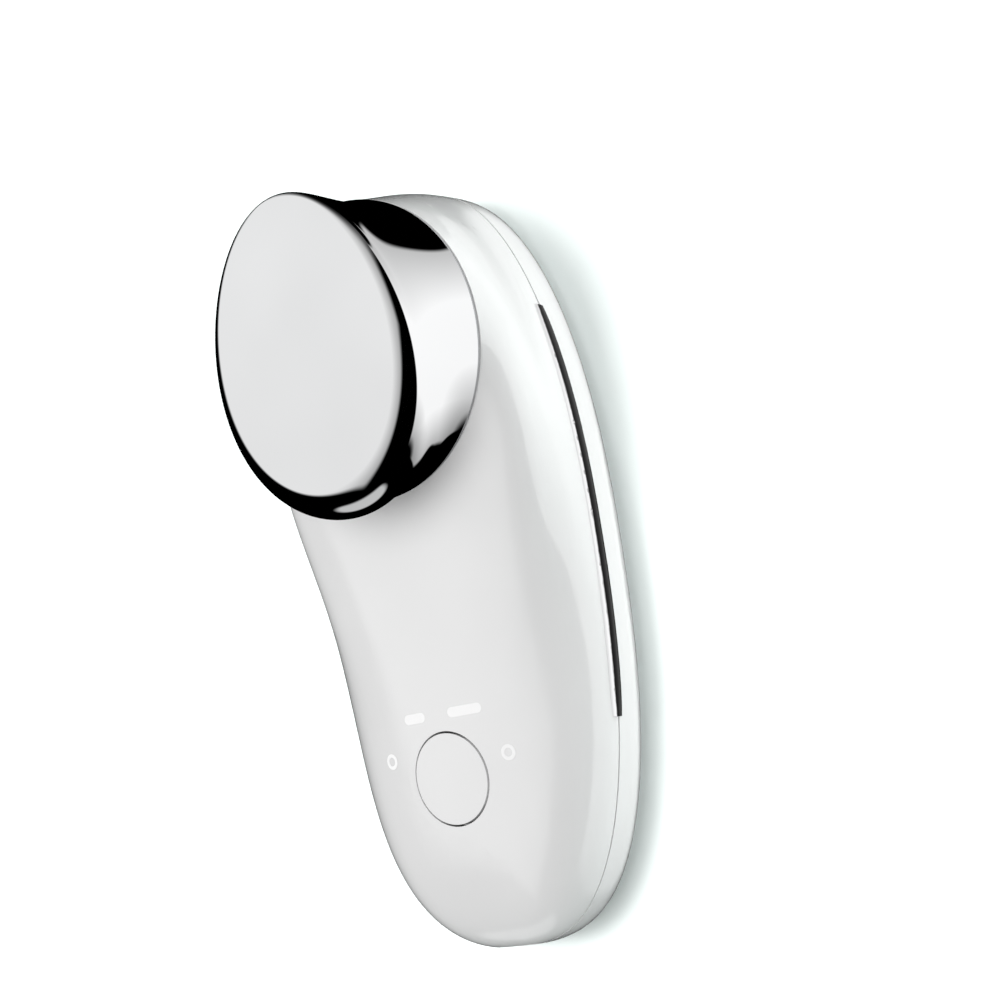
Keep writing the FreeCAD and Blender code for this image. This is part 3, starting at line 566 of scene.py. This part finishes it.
# Leads: two-core ribbons of stranded copper in a soft sheath, from the battery, the motor and
# the heater to the board, where they are plugged in or soldered.
SHEATH_RED = (0.30, 0.04, 0.03)
SHEATH_GLOSS = 0.5
SHEATH_GRAIN = 2500
SHEATH_DRIFT = 0.05
CORE_PITCH = 0.0012
CORE_RELIEF = 0.0001


def sheathed(name, colour):
    """Soft plastic sheath, ribbed where its cores lie side by side."""
    material = surfaced(name, SHEATH_GLOSS, SHEATH_GRAIN)
    tinted(material, noise(material, SHEATH_GRAIN), colour, SHEATH_DRIFT)
    tree = material.node_tree
    place = tree.nodes.new("ShaderNodeTexCoord")
    ribs = tree.nodes.new("ShaderNodeTexWave")
    ribs.inputs["Scale"].default_value = 1 / CORE_PITCH / math.pi
    link(material, place.outputs["Object"], ribs.inputs["Vector"])
    relief(material, ribs.outputs["Fac"], CORE_RELIEF)
    return material


finish(sheathed("lead_sheath", SHEATH_RED), "battery_leads", "motor_leads", "heater_leads")

# Battery: a flat cell in a shrunk-on blue wrap, laid between ribs of the rear cover on a strip
# of foam, which keeps it from rattling.
WRAP_BLUE = (0.10, 0.22, 0.42)
cell_wrap = moulded("cell_wrap", WRAP_BLUE, gloss=0.3, grain=600, depth=0.00003, change=0.06)
finish(cell_wrap, "battery_cell")
soft_pad("cell_foam", "battery_foam", foam_grey)

# Rear cover: the shallow back half, moulded in the shell's white, with a groove at the seam.
# It is closed by four screws in sinks, which soft plugs of the same white hide.
PLUG_WHITE = (0.72, 0.72, 0.72)
plug_rubber = moulded("plug_rubber", PLUG_WHITE, gloss=0.6, grain=2500, depth=0.00001, change=0.02)
finish(lacquered("cover_white", SHELL_WHITE), "rear_cover")
finish(plug_rubber, "screw_plugs")

# Table: a plain, very slightly green white sheet that the massager lies on. It takes the shadow
# and is in full light everywhere else, so that it shows as white.
TABLE_WHITE = (0.90, 0.96, 0.945)
TABLE_SIZE = 6
bpy.ops.mesh.primitive_plane_add(size=TABLE_SIZE)
table = bpy.context.object
table.name = "table"
table.data.materials.append(moulded("table_white", TABLE_WHITE, gloss=0.9, grain=300, depth=0.00001,
                                    change=0.002))
table.visible_shadow = False

# Room: white to the camera, with an even fill for what has no gloss. Gloss shows the studio
# instead: a soft box at the upper left, a white card low on the right, a window and a dark ceiling.
# Each edge is where its light begins and is full; a fall also has its first and last share.
FILL = 0.37
BOX_LIGHT = 0.86
BOX_BOTTOM = (-0.05, 0.05)
BOX_SLANT = (0.12, -0.88, 0, 1.15)
BOX_EAST = (0.72, 0.42)
BOX_EAST_FALL = (0.45, -0.35, 0.55, 1)
BOX_CORNER_BEARING = (0.82, 0.574)
BOX_CORNER = (-0.76, -0.67)
BOX_WEST = (-0.92, -0.76)
BOX_NORTH = (1.02, 0.55)
CARD_LIGHT = 1.04
CARD_TOP = (0.10, 0.02)
CARD_BULGE_SOUTH = (0.16, 0.30, 0, 0.40)
CARD_BULGE_NORTH = (0.70, 0.62)
CARD_BULGE_DIM = (0.30, 0.10, 0, 0.80)
CARD_SLANT = (0, -0.5, 0, 0.45)
CARD_WEST = (0.07, 0.17)
CARD_CORNER_BEARING = (0.62, 0.785)
CARD_CORNER = (-0.445, -0.42)
CARD_NORTH = (0.815, 0.78)
CARD_NORTH_FALL = (0.80, 0.30, 0.54, 1)
CARD_NEAR_BEARING = (0.843, 0.537)
CARD_NEAR = (-0.31, -0.25)
CARD_NEAR_FALL = (-0.27, 0.22, 0.47, 1)
CARD_SOUTH = (-0.86, -0.76)
CARD_SOUTH_FALL = (-0.92, -0.38, 0.34, 1)
WINDOW_LIGHT = 0.57
WINDOW_BEARING = (-0.40, -0.917)
WINDOW_SIDE = (0.92, 0.955)
WINDOW_TOP = (0.26, 0.12)
WINDOW_BOTTOM = (-0.50, -0.38)
world = bpy.data.worlds.new("studio")
bpy.context.scene.world = world
world.use_nodes = True
tree = world.node_tree
way = tree.nodes.new("ShaderNodeTexCoord")
axes = tree.nodes.new("ShaderNodeSeparateXYZ")
tree.links.new(way.outputs["Generated"], axes.inputs["Vector"])
east, north, height = axes.outputs


def combine(operation, first, second):
    """Sum, product and the like of two values, each a socket or a number."""
    node = tree.nodes.new("ShaderNodeMath")
    node.operation = operation
    for socket, value in zip(node.inputs, (first, second)):
        if isinstance(value, (int, float)):
            socket.default_value = value
        else:
            tree.links.new(value, socket)
    return node.outputs["Value"]


def fade(source, start, end, first=0.0, last=1.0, shape="SMOOTHSTEP"):
    """First where the source is at start, last where it is at end, and held beyond both."""
    node = tree.nodes.new("ShaderNodeMapRange")
    node.interpolation_type = shape
    ends = sorted(((start, first), (end, last)))
    node.inputs["From Min"].default_value = ends[0][0]
    node.inputs["From Max"].default_value = ends[1][0]
    node.inputs["To Min"].default_value = ends[0][1]
    node.inputs["To Max"].default_value = ends[1][1]
    tree.links.new(source, node.inputs["Value"])
    return node.outputs["Result"]


def fall(source, start, end, first, last):
    """Even fall of light over a panel."""
    return fade(source, start, end, first, last, "LINEAR")


def panel(light, *fades):
    """Panel of light, bounded by its fades."""
    value = light
    for part in fades:
        value = combine("MULTIPLY", value, part)
    return value


def along(x, y):
    """How far a direction leans toward a bearing on the floor, given by its two parts."""
    return combine("ADD", combine("MULTIPLY", east, x), combine("MULTIPLY", north, y))


box_east = combine("ADD", east, fall(north, *BOX_SLANT))
soft_box = panel(BOX_LIGHT, fade(height, *BOX_BOTTOM), fade(box_east, *BOX_EAST),
                 fall(box_east, *BOX_EAST_FALL), fade(along(*BOX_CORNER_BEARING), *BOX_CORNER),
                 fade(east, *BOX_WEST), fade(north, *BOX_NORTH))
card_near = along(*CARD_NEAR_BEARING)
card_bulge = combine("MULTIPLY", fade(north, *CARD_BULGE_SOUTH), fade(north, *CARD_BULGE_NORTH))
card_west = combine("ADD", combine("ADD", east, card_bulge), fall(north, *CARD_SLANT))
card_dim = combine("SUBTRACT", 1, combine("MULTIPLY", card_bulge, fade(east, *CARD_BULGE_DIM)))
low_card = panel(CARD_LIGHT, card_dim, fade(height, *CARD_TOP), fade(card_west, *CARD_WEST),
                 fade(along(*CARD_CORNER_BEARING), *CARD_CORNER), fade(north, *CARD_NORTH),
                 fall(north, *CARD_NORTH_FALL), fade(card_near, *CARD_NEAR),
                 fall(card_near, *CARD_NEAR_FALL), fade(north, *CARD_SOUTH),
                 fall(north, *CARD_SOUTH_FALL))
window = panel(WINDOW_LIGHT, fade(along(*WINDOW_BEARING), *WINDOW_SIDE), fade(height, *WINDOW_TOP),
               fade(height, *WINDOW_BOTTOM))
studio = combine("ADD", combine("ADD", soft_box, low_card), window)
path = tree.nodes.new("ShaderNodeLightPath")
shown = tree.nodes.new("ShaderNodeMix")
shown.inputs["A"].default_value = FILL
tree.links.new(path.outputs["Is Glossy Ray"], shown.inputs["Factor"])
tree.links.new(studio, shown.inputs["B"])
room = combine("MAXIMUM", shown.outputs["Result"], path.outputs["Is Camera Ray"])
tree.links.new(room, tree.nodes["Background"].inputs["Strength"])
tree.nodes["Background"].inputs["Color"].default_value = (1, 1, 1, 1)
for piece in bpy.context.scene.objects:
    piece.visible_glossy = False

# Lamps: soft lamps above and at the left, two low ones for the light thrown up on the right and at
# the head end, and one that only whitens the table. Gloss shows the studio in their place. Each has
# its direction, its width and the light that a white face turned to it gives back.
LAMP_REACH = 1.2
LAMPS = {
    "top_lamp": ((0, 0, 1), 1.2, 0.54),
    "left_lamp": ((-0.90, 0.10, 0.42), 1.0, 0.235),
    "side_lamp": ((0.80, 0.55, -0.30), 0.5, 0.22),
    "end_lamp": ((0.35, 0.85, -0.40), 0.5, 0.40),
    "table_lamp": ((-0.08, 0.03, 0.99), 0.4, 0.42),
}
for name, (direction, width, light) in LAMPS.items():
    lamp = bpy.data.lights.new(name, "AREA")
    lamp.shape = "DISK"
    lamp.size = width
    lamp.energy = light * math.pi ** 2 * (LAMP_REACH ** 2 + width ** 2 / 4)
    holder = bpy.data.objects.new(name, lamp)
    toward = Vector(direction).normalized()
    holder.location = toward * LAMP_REACH
    holder.rotation_euler = toward.to_track_quat("Z", "Y").to_euler()
    holder.visible_glossy = False
    bpy.context.scene.collection.objects.link(holder)
lit_table = bpy.data.collections.new("lit_table")
lit_table.objects.link(table)
bpy.data.objects["table_lamp"].light_linking.receiver_collection = lit_table

# Camera: high on the right and a little toward the tail, rolled a few degrees, as the photograph
# was taken. Its place and lens were fitted to the outline in the photograph.
CAMERA_TURN = math.radians(39.13)
CAMERA_LEAN = math.radians(7.55)
CAMERA_ROLL = math.radians(7.88)
CAMERA_DISTANCE = 0.4421
CAMERA_LENS = 92.8
SENSOR_WIDTH = 36
CAMERA_PIVOT = Vector((0, 0, 0.020))
CAMERA_ASIDE = 0.01077
CAMERA_RAISE = 0.01134
CLIP_START = 0.01
back = Vector((math.sin(CAMERA_TURN) * math.cos(CAMERA_LEAN), -math.sin(CAMERA_LEAN),
               math.cos(CAMERA_TURN) * math.cos(CAMERA_LEAN)))
level = Vector((0, 1, 0)).cross(back).normalized()
rise = back.cross(level)
right = math.cos(CAMERA_ROLL) * level - math.sin(CAMERA_ROLL) * rise
up = math.sin(CAMERA_ROLL) * level + math.cos(CAMERA_ROLL) * rise
camera = bpy.data.objects.new("camera", bpy.data.cameras.new("camera"))
camera.data.lens = CAMERA_LENS
camera.data.sensor_width = SENSOR_WIDTH
camera.data.clip_start = CLIP_START
camera.matrix_world = Matrix((right, up, back)).transposed().to_4x4()
aim = CAMERA_PIVOT + right * CAMERA_ASIDE + up * CAMERA_RAISE
camera.matrix_world.translation = aim + back * CAMERA_DISTANCE
bpy.context.scene.collection.objects.link(camera)
bpy.context.scene.camera = camera
bpy.context.scene.view_settings.view_transform = "Standard"
